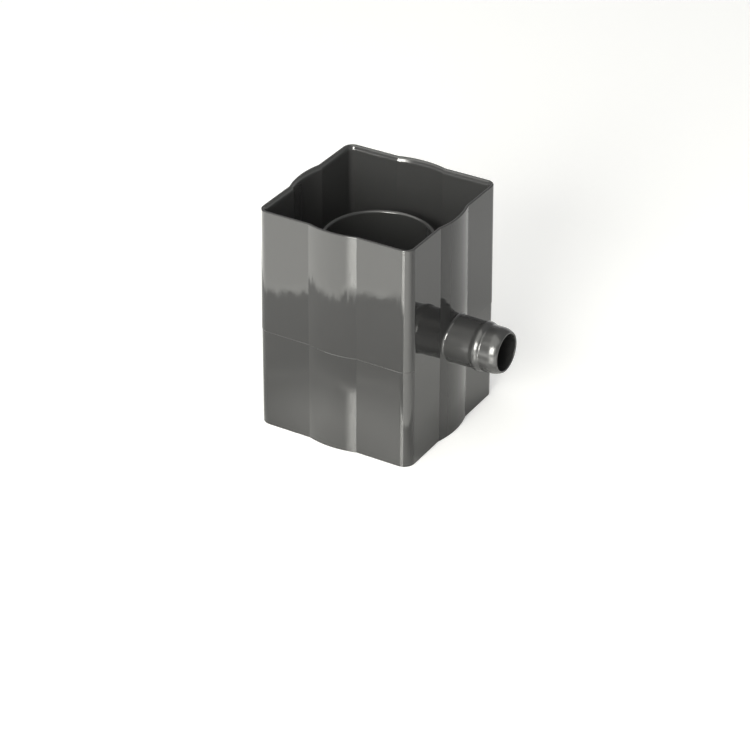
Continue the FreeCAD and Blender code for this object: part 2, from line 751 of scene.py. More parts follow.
@dataclass
class Spigot:
    """The hose spigot, which stands on the bulge on +X.

    Attributes:
        tip: Distance of its tip from the pipe axis.
        axis_height: Height of its axis.
        shank: Radius of the shank at the wall.
        land: Radius beyond the barb.
        nose: Radius at the tip.
        bore: Radius of the bore.
        nose_length: Length of the rounded nose.
        nose_blend: Radius of the nose's curve.
        barb_from_tip: Distance from the tip to the barb's end.
        barb_height: How far the barb stands out from the shank.
        barb_rise: Length of the barb's rise.
        barb_crest: Length of its crest.
        barb_slope: Length of its fall.
        barb_blends: Radii of its four turns, from the wall's side to the tip's.
        root_blend: Radius of the fillet at the wall.
        edge_blend: Radius of its small edges.
        window_reach: How far its window in the wall reaches above and below the axis.
        window_rows: Rows of quads that the window takes in.
        joint_rows: Rows of quads from the window's edge to the spigot.
        fillet_rows: Rows of quads across the fillet.
        fillet_rounds: Rounds in which the fillet's place is found.
    """

    tip: float
    axis_height: float
    shank: float = 10.0 * MM
    land: float = 9.7 * MM
    nose: float = 8.5 * MM
    bore: float = 7.75 * MM
    nose_length: float = 4.3 * MM
    nose_blend: float = 7.5 * MM
    barb_from_tip: float = 7.85 * MM
    barb_height: float = 0.45 * MM
    barb_rise: float = 1.4 * MM
    barb_crest: float = 1.45 * MM
    barb_slope: float = 1.3 * MM
    barb_blends: tuple[float, float, float, float] = (3.0 * MM, 2.0 * MM, 4.1 * MM, 1.3 * MM)
    root_blend: float = 1.0 * MM
    edge_blend: float = 0.3 * MM
    window_reach: float = 13.0 * MM
    window_rows: int = 28
    joint_rows: int = 5
    fillet_rows: int = 8
    fillet_rounds: int = 12

    def section(self, outline: RoundOutline) -> list[Corner]:
        """Lists the corners of its half section.

        Args:
            outline: The outline on the spigot's axis that all its rings grow from.

        Returns:
            The corners, from the wall over the tip and back down the bore.
        """
        barb_end = self.tip - self.barb_from_tip
        crest_end = barb_end - self.barb_slope
        crest_start = crest_end - self.barb_crest
        barb_start = crest_start - self.barb_rise
        crest = self.shank + self.barb_height
        half_turn = math.atan2(self.land - self.nose, self.nose_length)
        nose_corner = self.nose_length * math.cos(2 * half_turn) / (2 * math.cos(half_turn) ** 2)
        foot, front, back, end = self.barb_blends
        return [
            Corner(outline, self.shank, 0.0),
            Corner(outline, self.shank, barb_start, foot),
            Corner(outline, crest, crest_start, front),
            Corner(outline, crest, crest_end, back),
            Corner(outline, self.land, barb_end, end),
            Corner(outline, self.land, self.tip - nose_corner, self.nose_blend),
            Corner(outline, self.nose, self.tip, self.edge_blend),
            Corner(outline, self.bore, self.tip, self.edge_blend),
            Corner(outline, self.bore, 0.0),
        ]

    def fillet(self, wall: Wall, angles: np.ndarray) -> np.ndarray:
        """Rolls the root fillet round the shank.

        Args:
            wall: Finds points and normals of the wall from y and z.
            angles: Directions of the columns round the spigot's axis.

        Returns:
            Points of the rows from the wall to the shank.
        """
        spokes = around(angles)
        lean = np.zeros_like(angles)
        for _ in range(self.fillet_rounds):
            contact = spokes * (self.shank + self.root_blend * (1 - np.sin(lean)))[:, None]
            point, normal = wall(contact[:, 0], self.axis_height + contact[:, 1])
            lean = np.arctan2((normal[:, 1:] * spokes).sum(1), normal[:, 0])
        centre = point[:, 0] + self.root_blend * np.cos(lean)
        rows = []
        for share in np.linspace(0.0, 1.0, self.fillet_rows + 1):
            turned = lean + share * (math.pi / 2 - lean)
            radius = self.shank + self.root_blend * (1 - np.sin(turned))
            ring = spokes * radius[:, None]
            x = centre - self.root_blend * np.cos(turned)
            rows.append(np.column_stack([x, ring[:, 0], self.axis_height + ring[:, 1]]))
        return np.array(rows)

    def fillet_sheet(self, wall: Wall, angles: np.ndarray) -> Sheet:
        """Makes the fillet with its normals, which are square to its rows and columns.

        Args:
            wall: Finds points and normals of the wall from y and z.
            angles: Directions of the columns round the spigot's axis.

        Returns:
            The sheet, from the wall to the shank.
        """
        nudge = 1e-5
        points = self.fillet(wall, angles)
        round_it = self.fillet(wall, angles + nudge) - self.fillet(wall, angles - nudge)
        up_it = np.gradient(points, axis=0, edge_order=2)
        return Sheet(points, unit(np.cross(round_it, up_it)))

    def joint(self, edge: Sheet, wall: Wall, ring: np.ndarray) -> Sheet:
        """Fills the wall between the window's edge and a ring of points on the wall.

        Args:
            edge: The window's edge, as one row.
            wall: Finds points and normals of the wall from y and z.
            ring: Points of the ring, one for each point of the edge.

        Returns:
            The sheet, from the edge to the ring.
        """
        rows = [edge]
        for share in np.linspace(0.0, 1.0, self.joint_rows + 1)[1:]:
            at = edge.points[0] + share * (ring - edge.points[0])
            points, normals = wall(at[:, 1], at[:, 2])
            rows.append(Sheet(points[None], normals[None]))
        return Sheet.joined(*rows)


@dataclass
class StopRibs:
    """Ribs across the trough's corners, which stop the upper pipe above the spigot's bore.

    Attributes:
        rim: Height of the socket's rim.
        foot: Height of the trough's floor.
        weir_radius: Outer radius of the weir tube.
        wall_reach: Distance from the pipe axis to the inside of the wall, in its corners.
        insertion: How far the upper pipe goes in.
        weir_gap: Gap between a rib and the weir tube.
        wall_bed: How far a rib goes into the wall.
        thickness: Thickness of a rib.
        bed: How far a rib goes down into the floor.
        edge_blend: Radius of their edges.
        edge_steps: Spans along half the rounding of an edge.
    """

    rim: float
    foot: float
    weir_radius: float
    wall_reach: float
    insertion: float = 36.0 * MM
    weir_gap: float = 5.5 * MM
    wall_bed: float = 0.8 * MM
    thickness: float = 1.6 * MM
    bed: float = 0.5 * MM
    edge_blend: float = 0.3 * MM
    edge_steps: int = 3

    def add_to(self, skin: Skin) -> None:
        """Adds the four ribs to a skin.

        Args:
            skin: The skin.
        """
        low, high = self.foot - self.bed, self.rim - self.insertion
        inner_end, outer_end = self.weir_radius + self.weir_gap, self.wall_reach + self.wall_bed
        middle = np.array([(inner_end + outer_end) / 2, 0.0, (low + high) / 2])
        halves = np.array([(outer_end - inner_end) / 2, self.thickness / 2, (high - low) / 2])
        for quarter in range(4):
            angle = math.pi / 4 + quarter * math.pi / 2
            turn = np.array([
                [math.cos(angle), math.sin(angle), 0.0],
                [-math.sin(angle), math.cos(angle), 0.0],
                [0.0, 0.0, 1.0],
            ])
            for axis in range(3):
                for side in (-1.0, 1.0):
                    points, normals = self._face(halves, axis, side)
                    skin.add(Sheet((points + middle) @ turn, normals @ turn), Finish.CORE_SIDE, closed=False)

    def _face(self, halves: np.ndarray, axis: int, side: float) -> PointsAndNormals:
        """Makes one face of a block with rounded edges, up to the middle of its roundings.

        Args:
            halves: Half the block's sizes.
            axis: Number of the axis that the face is square to.
            side: Its side of the block, -1 or 1.

        Returns:
            The points and their normals, in rows and columns.
        """
        flat = halves - self.edge_blend
        steps = self.edge_blend * np.tan(np.linspace(0.0, math.pi / 4, self.edge_steps + 1))
        first, second = (other for other in range(3) if other != axis)
        lines = [np.concatenate([-flat[i] - steps[::-1], flat[i] + steps]) for i in (first, second)]
        grid = np.zeros((len(lines[0]), len(lines[1]), 3))
        grid[..., first], grid[..., second] = np.meshgrid(*lines, indexing="ij")
        grid[..., axis] = side * halves[axis]
        core = np.clip(grid, -flat, flat)
        normals = unit(grid - core)
        return core + self.edge_blend * normals, normals


@dataclass
class DiverterBody:
    """The whole moulding.

    Attributes:
        walls: Sizes of its walls.
        weir: Sizes of its weir tube.
        spigot: Sizes of its hose spigot.
        ribs: Sizes of its stop ribs.
    """

    walls: Walls
    weir: Weir
    spigot: Spigot
    ribs: StopRibs

    def build(self, materials: Sequence[bpy.types.Material]) -> bpy.types.Object:
        """Builds the moulding.

        Args:
            materials: One material for each finish, in the order of Finish.

        Returns:
            The object.
        """
        skin = Skin()
        spokes = unit(self.walls.outer.ring()[0])
        corners = [
            *self.walls.outside(),
            *self.walls.socket(self.weir.floor),
            *self.weir.section(spokes),
            *self.walls.skirt(self.weir.ceiling),
        ]
        axis, reach = self.spigot.axis_height, self.spigot.window_reach
        outer_heights = np.linspace(axis - reach, axis + reach, self.spigot.window_rows + 1)
        stations = with_rows(round_section(corners, closed=True), self.walls.outer, outer_heights)
        outer_window = self._window(stations, self.walls.outer, outer_heights)
        inner_heights = np.linspace(self.weir.floor, axis + reach, outer_window.rows)
        stations = with_rows(stations, self.walls.inner, inner_heights)
        inner_window = self._window(stations, self.walls.inner, inner_heights)
        split = next(i for i, station in enumerate(stations) if station.outline is self.walls.inner)
        outside = self.walls.outside_sheet(stations[:split])
        inside = Sheet.along(stations[split:], upright)
        lead_in = self.walls.lead_in_rows
        skin.add(Sheet.joined(outside.rows(-1), inside.rows(0, lead_in + 1)), Finish.RIM)
        skin.add(Sheet.joined(inside.rows(-1), outside.rows(0, 1)), Finish.POLISHED)
        inside, split = inside.rows(lead_in), split + lead_in
        inner_window = inner_window.moved(-split)
        skin.add(outside, Finish.POLISHED, window=outer_window)
        skin.add(inside, Finish.CORE_SIDE, window=inner_window)
        self._add_spigot(skin, outer_window.edge(outside), inner_window.edge(inside))
        self.ribs.add_to(skin)
        return skin.build(BODY_NODE + "_skin", materials)

    def _window(self, stations: Sequence[Station], outline: PipeOutline, heights: np.ndarray) -> Window:
        """Finds the window for the spigot in one side of the bulge on +X.

        Args:
            stations: All stations, in order.
            outline: The outline of that side.
            heights: Heights of the window's rows, from the lowest.

        Returns:
            The window.
        """
        slack, steepest = 1e-7, 0.5
        rows = [
            i for i, station in enumerate(stations)
            if station.outline is outline and heights[0] - slack < station.height < heights[-1] + slack
            and abs(math.sin(station.tilt)) < steepest
        ]
        return Window(rows[0], rows[-1], outline.bulge_steps)

    def _add_spigot(self, skin: Skin, outer_edge: Sheet, inner_edge: Sheet) -> None:
        """Adds the spigot and its bore, with the wall round both their ends.

        Args:
            skin: The skin to add to.
            outer_edge: Edge of the window in the outside of the wall.
            inner_edge: Edge of the window in the inside.
        """
        spigot, walls = self.spigot, self.walls

        def inner_wall(y: np.ndarray, z: np.ndarray) -> PointsAndNormals:
            """Finds the inside of the wall."""
            return walls.inner_bulge(y, z, self.weir.floor)

        rim = outer_edge.points[0]
        angles = np.arctan2(rim[:, 2] - spigot.axis_height, rim[:, 1])
        spokes = around(angles)
        fillet = spigot.fillet_sheet(walls.outer_bulge, angles)
        joint = spigot.joint(outer_edge, walls.outer_bulge, fillet.points[0])
        stations = round_section(spigot.section(RoundOutline(0.0, spokes)), closed=False)
        turned = Sheet.along(stations, sideways).raised(spigot.axis_height)
        bore = spokes * spigot.bore
        mouth, _ = inner_wall(bore[:, 0], spigot.axis_height + bore[:, 1])
        inward = sideways(-spokes, np.zeros(len(spokes)))
        bore_end = Sheet(mouth[None], inward[None])
        facing = sideways(spokes, np.zeros(len(spokes)))
        shank_start = Sheet(fillet.points[-1:], facing[None])
        skin.add(Sheet.joined(joint, fillet), Finish.POLISHED)
        skin.add(Sheet.joined(shank_start, turned), Finish.SATIN)
        skin.add(Sheet.joined(turned.rows(-1), bore_end), Finish.POLISHED)
        skin.add(spigot.joint(inner_edge, inner_wall, mouth), Finish.CORE_SIDE)


@dataclass
class Nodes:
    """Adds nodes to one node tree and wires them.

    Attributes:
        tree: The node tree.
    """

    tree: bpy.types.NodeTree

    def add(self, kind: str, inputs: dict[str | int, Any] | None = None, **settings: Any) -> bpy.types.Node:
        """Adds a node.

        Args:
            kind: Its type.
            inputs: A value or an output socket for each named or numbered input.
            settings: Its own settings.

        Returns:
            The node.
        """
        node = self.tree.nodes.new(kind)
        for name, value in settings.items():
            setattr(node, name, value)
        for key, value in (inputs or {}).items():
            if isinstance(value, Socket):
                self.tree.links.new(value, node.inputs[key])
            else:
                node.inputs[key].default_value = value
        return node

    def math(self, operation: str, *values: Any) -> Socket:
        """Adds a Math node and returns its output."""
        return self.add("ShaderNodeMath", dict(enumerate(values)), operation=operation).outputs[0]

    def noise(self, place: Socket, scale: float = 1.0, detail: float = 0.0) -> Socket:
        """Adds a noise texture and returns its value."""
        return self.add("ShaderNodeTexNoise", {"Vector": place, "Scale": scale, "Detail": detail}).outputs[0]

    def swing(self, place: Socket, scale: float = 1.0, detail: float = 0.0) -> Socket:
        """Adds a noise texture and returns its value, counted from its mean."""
        return self.math("SUBTRACT", self.noise(place, scale, detail), NOISE_MEAN)

    def fade(self, value: Any, across: Pair, levels: tuple[Any, Any]) -> Socket:
        """Adds a smooth change from one level to another.

        Args:
            value: What decides the level.
            across: The range in which the level changes.
            levels: The levels at the range's start and end.

        Returns:
            The level.
        """
        names = ("From Min", "From Max", "To Min", "To Max")
        inputs = {"Value": value, **dict(zip(names, (*across, *levels)))}
        return self.add("ShaderNodeMapRange", inputs, interpolation_type="SMOOTHSTEP").outputs[0]

    def stretched(self, across: Any, along: Any) -> Socket:
        """Counts object coordinates in two lengths.

        Args:
            across: The length across the pipe.
            along: The length along it.

        Returns:
            The coordinates.
        """
        place = self.add("ShaderNodeTexCoord").outputs["Object"]
        lengths = self.add("ShaderNodeCombineXYZ", {0: across, 1: across, 2: along}).outputs[0]
        divide = self.add("ShaderNodeVectorMath", {0: place, 1: lengths}, operation="DIVIDE")
        return divide.outputs[0]


class Effect:
    """A shader node group that several materials use.

    Attributes:
        name: Name of the group.
        inputs: Name and default value of each input. A tuple stands for a colour.
        output: Name and kind of the output.
    """

    name: str
    inputs: dict[str, float | tuple[float, float, float, float]]
    output: tuple[str, str]

    def draw(self, nodes: Nodes, values: dict[str, Socket]) -> Socket:
        """Adds the group's own nodes from its inputs by name, and returns what the group puts out."""
        raise NotImplementedError

    def group(self) -> bpy.types.NodeTree:
        """Builds the group, where that hasn't been done yet.

        Returns:
            The group.
        """
        if self.name in bpy.data.node_groups:
            return bpy.data.node_groups[self.name]
        tree = bpy.data.node_groups.new(self.name, "ShaderNodeTree")
        for name, value in self.inputs.items():
            kind = "NodeSocketColor" if isinstance(value, tuple) else "NodeSocketFloat"
            tree.interface.new_socket(name, in_out="INPUT", socket_type=kind).default_value = value
        tree.interface.new_socket(self.output[0], in_out="OUTPUT", socket_type=self.output[1])
        nodes = Nodes(tree)
        given = nodes.add("NodeGroupInput")
        result = self.draw(nodes, {name: given.outputs[name] for name in self.inputs})
        nodes.add("NodeGroupOutput", {0: result})
        return tree

    def place(self, nodes: Nodes, values: dict[str, Any]) -> Socket:
        """Places the group in a material.

        Args:
            nodes: Adds nodes to the material.
            values: The material's own values for the group's inputs, by name.

        Returns:
            The group's output.
        """
        node = nodes.add("ShaderNodeGroup", node_tree=self.group())
        for name, value in values.items():
            node.inputs[name].default_value = value
        return node.outputs[0]


class MouldRelief(Effect):
    """Relief of a moulded wall: shallow waves, drag lines along the draw, and a fine grain."""

    name = "mould_relief"
    inputs = {
        "Wave height": 0.0,
        "Wave size": 0.02,
        "Line height": 0.0,
        "Line width": 0.002,
        "Line length": 0.01,
        "Grain height": 0.0,
        "Grain size": 0.0003,
    }
    output = ("Height", "NodeSocketFloat")

    def draw(self, nodes: Nodes, values: dict[str, Socket]) -> Socket:
        """Adds the three reliefs up.

        Args:
            nodes: Adds nodes to the group.
            values: The group's inputs by name. Lengths are in metres.

        Returns:
            The height, in metres.
        """
        wave_size, grain_size = values["Wave size"], values["Grain size"]
        waves = nodes.noise(nodes.stretched(wave_size, wave_size), detail=1.0)
        lines = nodes.noise(nodes.stretched(values["Line width"], values["Line length"]), detail=2.0)
        grain = nodes.noise(nodes.stretched(grain_size, grain_size))
        height = nodes.math("MULTIPLY", grain, values["Grain height"])
        height = nodes.math("MULTIPLY_ADD", lines, values["Line height"], height)
        return nodes.math("MULTIPLY_ADD", waves, values["Wave height"], height)


class UnevenGloss(Effect):
    """Roughness that drifts over the surface, with a trace of the mould's polishing in it."""

    STROKE_STRETCH = 24.0
    name = "uneven_gloss"
    inputs = {"Roughness": 0.1, "Drift": 0.02, "Patch size": 0.015, "Polish": 0.01, "Stroke": 0.0006}
    output = ("Roughness", "NodeSocketFloat")

    def draw(self, nodes: Nodes, values: dict[str, Socket]) -> Socket:
        """Adds both changes to the plain roughness. A polishing stroke is many times as long as wide.

        Args:
            nodes: Adds nodes to the group.
            values: The group's inputs by name.

        Returns:
            The roughness.
        """
        patch, stroke = values["Patch size"], values["Stroke"]
        length = nodes.math("MULTIPLY", stroke, self.STROKE_STRETCH)
        drift = nodes.swing(nodes.stretched(patch, patch), detail=2.0)
        polish = nodes.swing(nodes.stretched(stroke, length), detail=1.0)
        rough = nodes.math("MULTIPLY_ADD", drift, values["Drift"], values["Roughness"])
        return nodes.math("MULTIPLY_ADD", polish, values["Polish"], rough)


class PigmentTone(Effect):
    """Colour of the plastic, which the melt's flow makes a little lighter and darker."""

    FLOW_STRETCH = 2.5
    name = "pigment_tone"
    inputs = {"Colour": (0.03, 0.03, 0.03, 1.0), "Variation": 0.1, "Flow size": 0.02}
    output = ("Colour", "NodeSocketColor")

    def draw(self, nodes: Nodes, values: dict[str, Socket]) -> Socket:
        """Multiplies the colour by a slow noise that is drawn out along the pipe.

        Args:
            nodes: Adds nodes to the group.
            values: The group's inputs by name.

        Returns:
            The colour.
        """
        size = values["Flow size"]
        length = nodes.math("MULTIPLY", size, self.FLOW_STRETCH)
        flow = nodes.swing(nodes.stretched(size, length), detail=3.0)
        factor = nodes.math("ADD", nodes.math("MULTIPLY", flow, values["Variation"]), 1.0)
        scaled = nodes.add("ShaderNodeVectorMath", {0: values["Colour"], "Scale": factor}, operation="SCALE")
        return scaled.outputs[0]


@dataclass(frozen=True)
class Plastic:
    """Glossy moulded plastic.

    Attributes:
        name: Name of the material.
        colour: Base colour, linear.
        roughness: Roughness of the surface.
        drift: How much the roughness drifts.
        polish: How much the mould's polishing shows in the roughness.
        wave: Height and length of the shallow waves, in millimetres.
        line: Height, width and length of the drag lines along the draw, in millimetres.
        grain: Height and size of the fine grain, in millimetres.
        ior: Index of refraction.
    """

    name: str
    colour: tuple[float, float, float]
    roughness: float
    drift: float
    polish: float
    wave: Pair
    line: tuple[float, float, float]
    grain: Pair
    ior: float = 1.54

    def build(self) -> bpy.types.Material:
        """Builds the material.

        Returns:
            The material.
        """
        material = bpy.data.materials.new(self.name)
        material.use_nodes = True
        nodes = Nodes(material.node_tree)
        shader = material.node_tree.nodes["Principled BSDF"]
        shader.inputs["IOR"].default_value = self.ior
        lengths = [length * MM for length in (*self.wave, *self.line, *self.grain)]
        height = MouldRelief().place(nodes, dict(zip(MouldRelief.inputs, lengths)))
        relief = nodes.add("ShaderNodeBump", {"Strength": 1.0, "Distance": 1.0, "Height": height})
        gloss_values = {"Roughness": self.roughness, "Drift": self.drift, "Polish": self.polish}
        gloss = UnevenGloss().place(nodes, gloss_values)
        tone = PigmentTone().place(nodes, {"Colour": (*self.colour, 1.0)})
        for name, socket in (("Base Color", tone), ("Roughness", gloss), ("Normal", relief.outputs[0])):
            material.node_tree.links.new(socket, shader.inputs[name])
        return material


ANTHRACITE = (0.032, 0.032, 0.032)
# Painted light: the same anthracite made lighter, so that the spigot looks as if more light fell on it.
ANTHRACITE_PAINTED_LIGHTER = (0.043, 0.043, 0.043)
# Painted light: the same anthracite made lighter still, so that the inside of the socket and the rim look as
# if more light fell there.
ANTHRACITE_PAINTED_LIGHTEST = (0.048, 0.048, 0.048)
POLISHED_PLASTIC = Plastic(
    "polished_plastic", ANTHRACITE, roughness=0.03, drift=0.012, polish=0.010,
    wave=(0.010, 14.0), line=(0.012, 1.6, 5.0), grain=(0.00005, 0.25),
)
# Core side: a rougher finish, and a base colour lightened by painted light.
CORE_SIDE_PLASTIC_PAINTED_LIGHTER = Plastic(
    "core_side_plastic_painted_lighter", ANTHRACITE_PAINTED_LIGHTEST, roughness=0.2, drift=0.06, polish=0.06,
    wave=(0.008, 18.0), line=(0.003, 1.2, 14.0), grain=(0.0003, 0.25),
)
# Spigot: a satin finish, and a base colour lightened by painted light.
SATIN_PLASTIC_PAINTED_LIGHTER = Plastic(
    "satin_plastic_painted_lighter", ANTHRACITE_PAINTED_LIGHTER, roughness=0.22, drift=0.06, polish=0.04,
    wave=(0.004, 9.0), line=(0.002, 1.0, 4.0), grain=(0.0002, 0.2),
)
# Rim: its own finish, and a base colour lightened by painted light.
RIM_PLASTIC_PAINTED_LIGHTER = Plastic(
    "rim_plastic_painted_lighter", ANTHRACITE_PAINTED_LIGHTEST, roughness=0.14, drift=0.10, polish=0.04,
    wave=(0.030, 5.0), line=(0.020, 1.6, 5.0), grain=(0.0001, 0.2),
)


def direction(azimuth: float, elevation: float) -> Vector:
    """Returns the unit vector away from the object, at an azimuth and elevation in degrees."""
    turn, rise = math.radians(azimuth), math.radians(elevation)
    return Vector((math.sin(turn) * math.cos(rise), -math.cos(turn) * math.cos(rise), math.sin(rise)))


def radians(degrees: Pair) -> Pair:
    """Turns a pair of angles from degrees into radians."""
    return math.radians(degrees[0]), math.radians(degrees[1])


def make_lamp(name: str, size: Pair, radiance: float, gloss_only: bool) -> bpy.types.Object:
    """Makes a rectangular lamp that the camera doesn't see.

    Args:
        name: Its name.
        size: Width and height of its window.
        radiance: Brightness of the window.
        gloss_only: Whether it shows only in the gloss.

    Returns:
        The lamp, linked to the scene.
    """
    data = bpy.data.lights.new(name, "AREA")
    data.shape = "RECTANGLE"
    data.size, data.size_y = size
    data.energy = radiance * math.pi * size[0] * size[1]
    data.color = LAMP_TINT
    lamp = add_object(name, data)
    lamp.visible_camera = False
    lamp.visible_diffuse = not gloss_only
    return lamp


def lamp_nodes(lamp: bpy.types.Object) -> Nodes:
    """Turns a lamp's nodes on, and returns what adds to them."""
    lamp.data.use_nodes = True
    return Nodes(lamp.data.node_tree)


def wire_strength(nodes: Nodes, strength: Socket) -> None:
    """Wires a brightness to a lamp by its nodes."""
    nodes.tree.links.new(strength, nodes.tree.nodes["Emission"].inputs["Strength"])


@dataclass(frozen=True)
class SoftLamp:
    """A soft studio lamp, aimed at a point.

    Attributes:
        name: Its name.
        azimuth: Its direction from the object, in degrees from the front towards the spigot's side.
        elevation: Its angle above the floor, in degrees.
        distance: Its distance.
        size: Width and height of its window.
        radiance: Brightness of the window, where 1 is white.
        gloss_only: Whether it shows only in the gloss.
        ramp: Share of its width over which its light comes up, on the side away from the spigot.
    """

    name: str
    azimuth: float
    elevation: float
    distance: float
    size: Pair
    radiance: float
    gloss_only: bool = False
    ramp: float = 0.0

    def build(self) -> None:
        """Makes the lamp."""
        away = direction(self.azimuth, self.elevation)
        lamp = make_lamp(self.name, self.size, self.radiance, self.gloss_only)
        lamp.location = away * self.distance
        lamp.rotation_euler = (-away).to_track_quat("-Z", "Y").to_euler()
        if self.ramp:
            nodes = lamp_nodes(lamp)
            window = nodes.add("ShaderNodeNewGeometry").outputs["Parametric"]
            across = nodes.add("ShaderNodeSeparateXYZ", {0: window}).outputs[0]
            wire_strength(nodes, nodes.fade(across, (0.0, self.ramp), (0.0, 1.0)))


@dataclass(frozen=True)
class FloorPatch:
    """The round patch of floor that the object stands on, which is narrower towards the spigot's side.

    Attributes:
        narrow_from: Azimuths, in degrees from the front, between which it grows narrower.
        narrowing: How many times narrower it is beyond them.
        swell_from: Azimuths between which it grows a little wider, before that.
        swell: How much wider it is beyond them.
    """

    narrow_from: Pair = (21.0, 34.0)
    narrowing: float = 2.2
    swell_from: Pair = (-14.0, -6.0)
    swell: float = 9.0 * MM

    def measure(self, nodes: Nodes, place: Socket) -> tuple[Socket, ...]:
        """Adds what tells where a place on the floor is.

        Args:
            nodes: Adds the nodes.
            place: The place.

        Returns:
            Its distance from the pipe axis, its azimuth in radians, and the distance counted as at the front.
        """
        distance = nodes.add("ShaderNodeVectorMath", {0: place}, operation="LENGTH").outputs["Value"]
        across = nodes.add("ShaderNodeSeparateXYZ", {0: place})
        forward = nodes.math("MULTIPLY", across.outputs[1], -1.0)
        azimuth = nodes.math("ARCTAN2", across.outputs[0], forward)
        count = nodes.fade(azimuth, radians(self.narrow_from), (1.0, self.narrowing))
        swell = nodes.fade(azimuth, radians(self.swell_from), (0.0, -self.swell))
        return distance, azimuth, nodes.math("MULTIPLY_ADD", distance, count, swell)


@dataclass(frozen=True)
class FloorGlow:
    """A lit part of the floor round the dim patch that the object stands on, seen only in the gloss.

    Attributes:
        name: Its name.
        radiance: Its brightness, beside that of the floor itself.
        edge: Distances from the pipe axis between which the light comes up.
        end: Distances between which it dies away again.
        left: Azimuths, in degrees from the front, between which it comes up.
        right: Azimuths between which it dies away, on the spigot's side.
        fray: How fine and how large each unevenness of its inner edge is.
        fray_phase: Which of many like patterns that has.
        foot_radiance: Brightness of the patch in front of the object's foot.
        foot_start: Distances from the pipe axis between which that reaches its full brightness.
        foot_dim: Share of it before that.
        foot_edge: Distances between which it dies away.
        foot_left: Azimuths between which it comes up.
        foot_right: Azimuths between which it dies away.
        half: Half the side of the lamp.
        height: Height of the lamp above the floor.
        patch: The patch.
    """

    name: str
    radiance: float
    edge: Pair
    end: Pair
    left: Pair
    right: Pair
    fray: tuple[Pair, ...] = ()
    fray_phase: float = 1.3
    foot_radiance: float = 0.0
    foot_start: Pair = (0.036, 0.062)
    foot_dim: float = 0.7
    foot_edge: Pair = (0.050, 0.105)
    foot_left: Pair = (-60.0, -15.0)
    foot_right: Pair = (35.0, 60.0)
    half: float = 1.6
    height: float = 0.5 * MM
    patch: FloorPatch = FloorPatch()

    def build(self) -> None:
        """Makes the lit floor, as a lamp that lies on the floor and looks up."""
        side = 2 * self.half
        lamp = make_lamp(self.name, (side, side), 1.0, gloss_only=True)
        lamp.location = (0.0, 0.0, self.height)
        lamp.rotation_euler = (math.pi, 0.0, 0.0)
        nodes = lamp_nodes(lamp)
        place = nodes.add("ShaderNodeNewGeometry").outputs["Position"]
        distance, azimuth, reach = self.patch.measure(nodes, place)
        edge_place = {0: azimuth, 1: distance, 2: self.fray_phase}
        along_edge = nodes.add("ShaderNodeCombineXYZ", edge_place).outputs[0]
        for scale, height in self.fray:
            reach = nodes.math("MULTIPLY_ADD", nodes.swing(along_edge, scale, detail=2.0), height, reach)
        glow = self._sector(
            nodes, azimuth, self.left, self.right,
            nodes.fade(reach, self.edge, (0.0, self.radiance)),
            nodes.fade(distance, self.end, (1.0, 0.0)),
        )
        foot = self._sector(
            nodes, azimuth, self.foot_left, self.foot_right,
            nodes.fade(distance, self.foot_start, (self.foot_dim, 1.0)),
            nodes.fade(distance, self.foot_edge, (self.foot_radiance, 0.0)),
        )
        wire_strength(nodes, nodes.math("ADD", glow, foot))

    def _sector(self, nodes: Nodes, azimuth: Socket, left: Pair, right: Pair, *factors: Socket) -> Socket:
        """Multiplies two factors, and keeps what comes out to some azimuths.

        Args:
            nodes: Adds the nodes.
            azimuth: Azimuth of the place, in radians.
            left: Azimuths, in degrees, between which it comes up.
            right: Azimuths between which it dies away.
            factors: The two factors.

        Returns:
            The product there, and 0 elsewhere.
        """
        sector = nodes.math(
            "MINIMUM",
            nodes.fade(azimuth, radians(left), (0.0, 1.0)),
            nodes.fade(azimuth, radians(right), (1.0, 0.0)),
        )
        return nodes.math("MULTIPLY", nodes.math("MULTIPLY", *factors), sector)


KEY_LAMP = SoftLamp("key_lamp", azimuth=-24.0, elevation=66.0, distance=1.3, size=(2.0, 1.4), radiance=0.8)
FRONT_LAMP = SoftLamp(
    "front_lamp", azimuth=4.2, elevation=23.0, distance=1.2, size=(0.60, 0.60), radiance=15.5, ramp=0.38,
)
LAMPS = (
    KEY_LAMP,
    replace(KEY_LAMP, name="key_window", distance=1.29, radiance=1.6, gloss_only=True),
    FRONT_LAMP,
    replace(FRONT_LAMP, name="front_window", distance=1.19, radiance=18.0, gloss_only=True),
    SoftLamp(
        "front_wall", azimuth=-20.0, elevation=4.0, distance=1.7, size=(3.0, 0.35), radiance=1.2,
        gloss_only=True,
    ),
    FloorGlow(
        "floor_glow", radiance=2.35, edge=(0.159, 0.167), end=(1.0, 1.55), left=(-172.0, -120.0),
        right=(40.0, 92.0), fray=((14.0, 0.018), (75.0, 0.020)), foot_radiance=1.45,
    ),
    FloorGlow(
        "side_glow", radiance=0.34, edge=(0.036, 0.056), end=(0.095, 0.130), left=(50.0, 85.0),
        right=(160.0, 178.0), half=0.2, height=0.3 * MM, patch=FloorPatch(narrowing=1.0, swell=0.0),
    ),
)


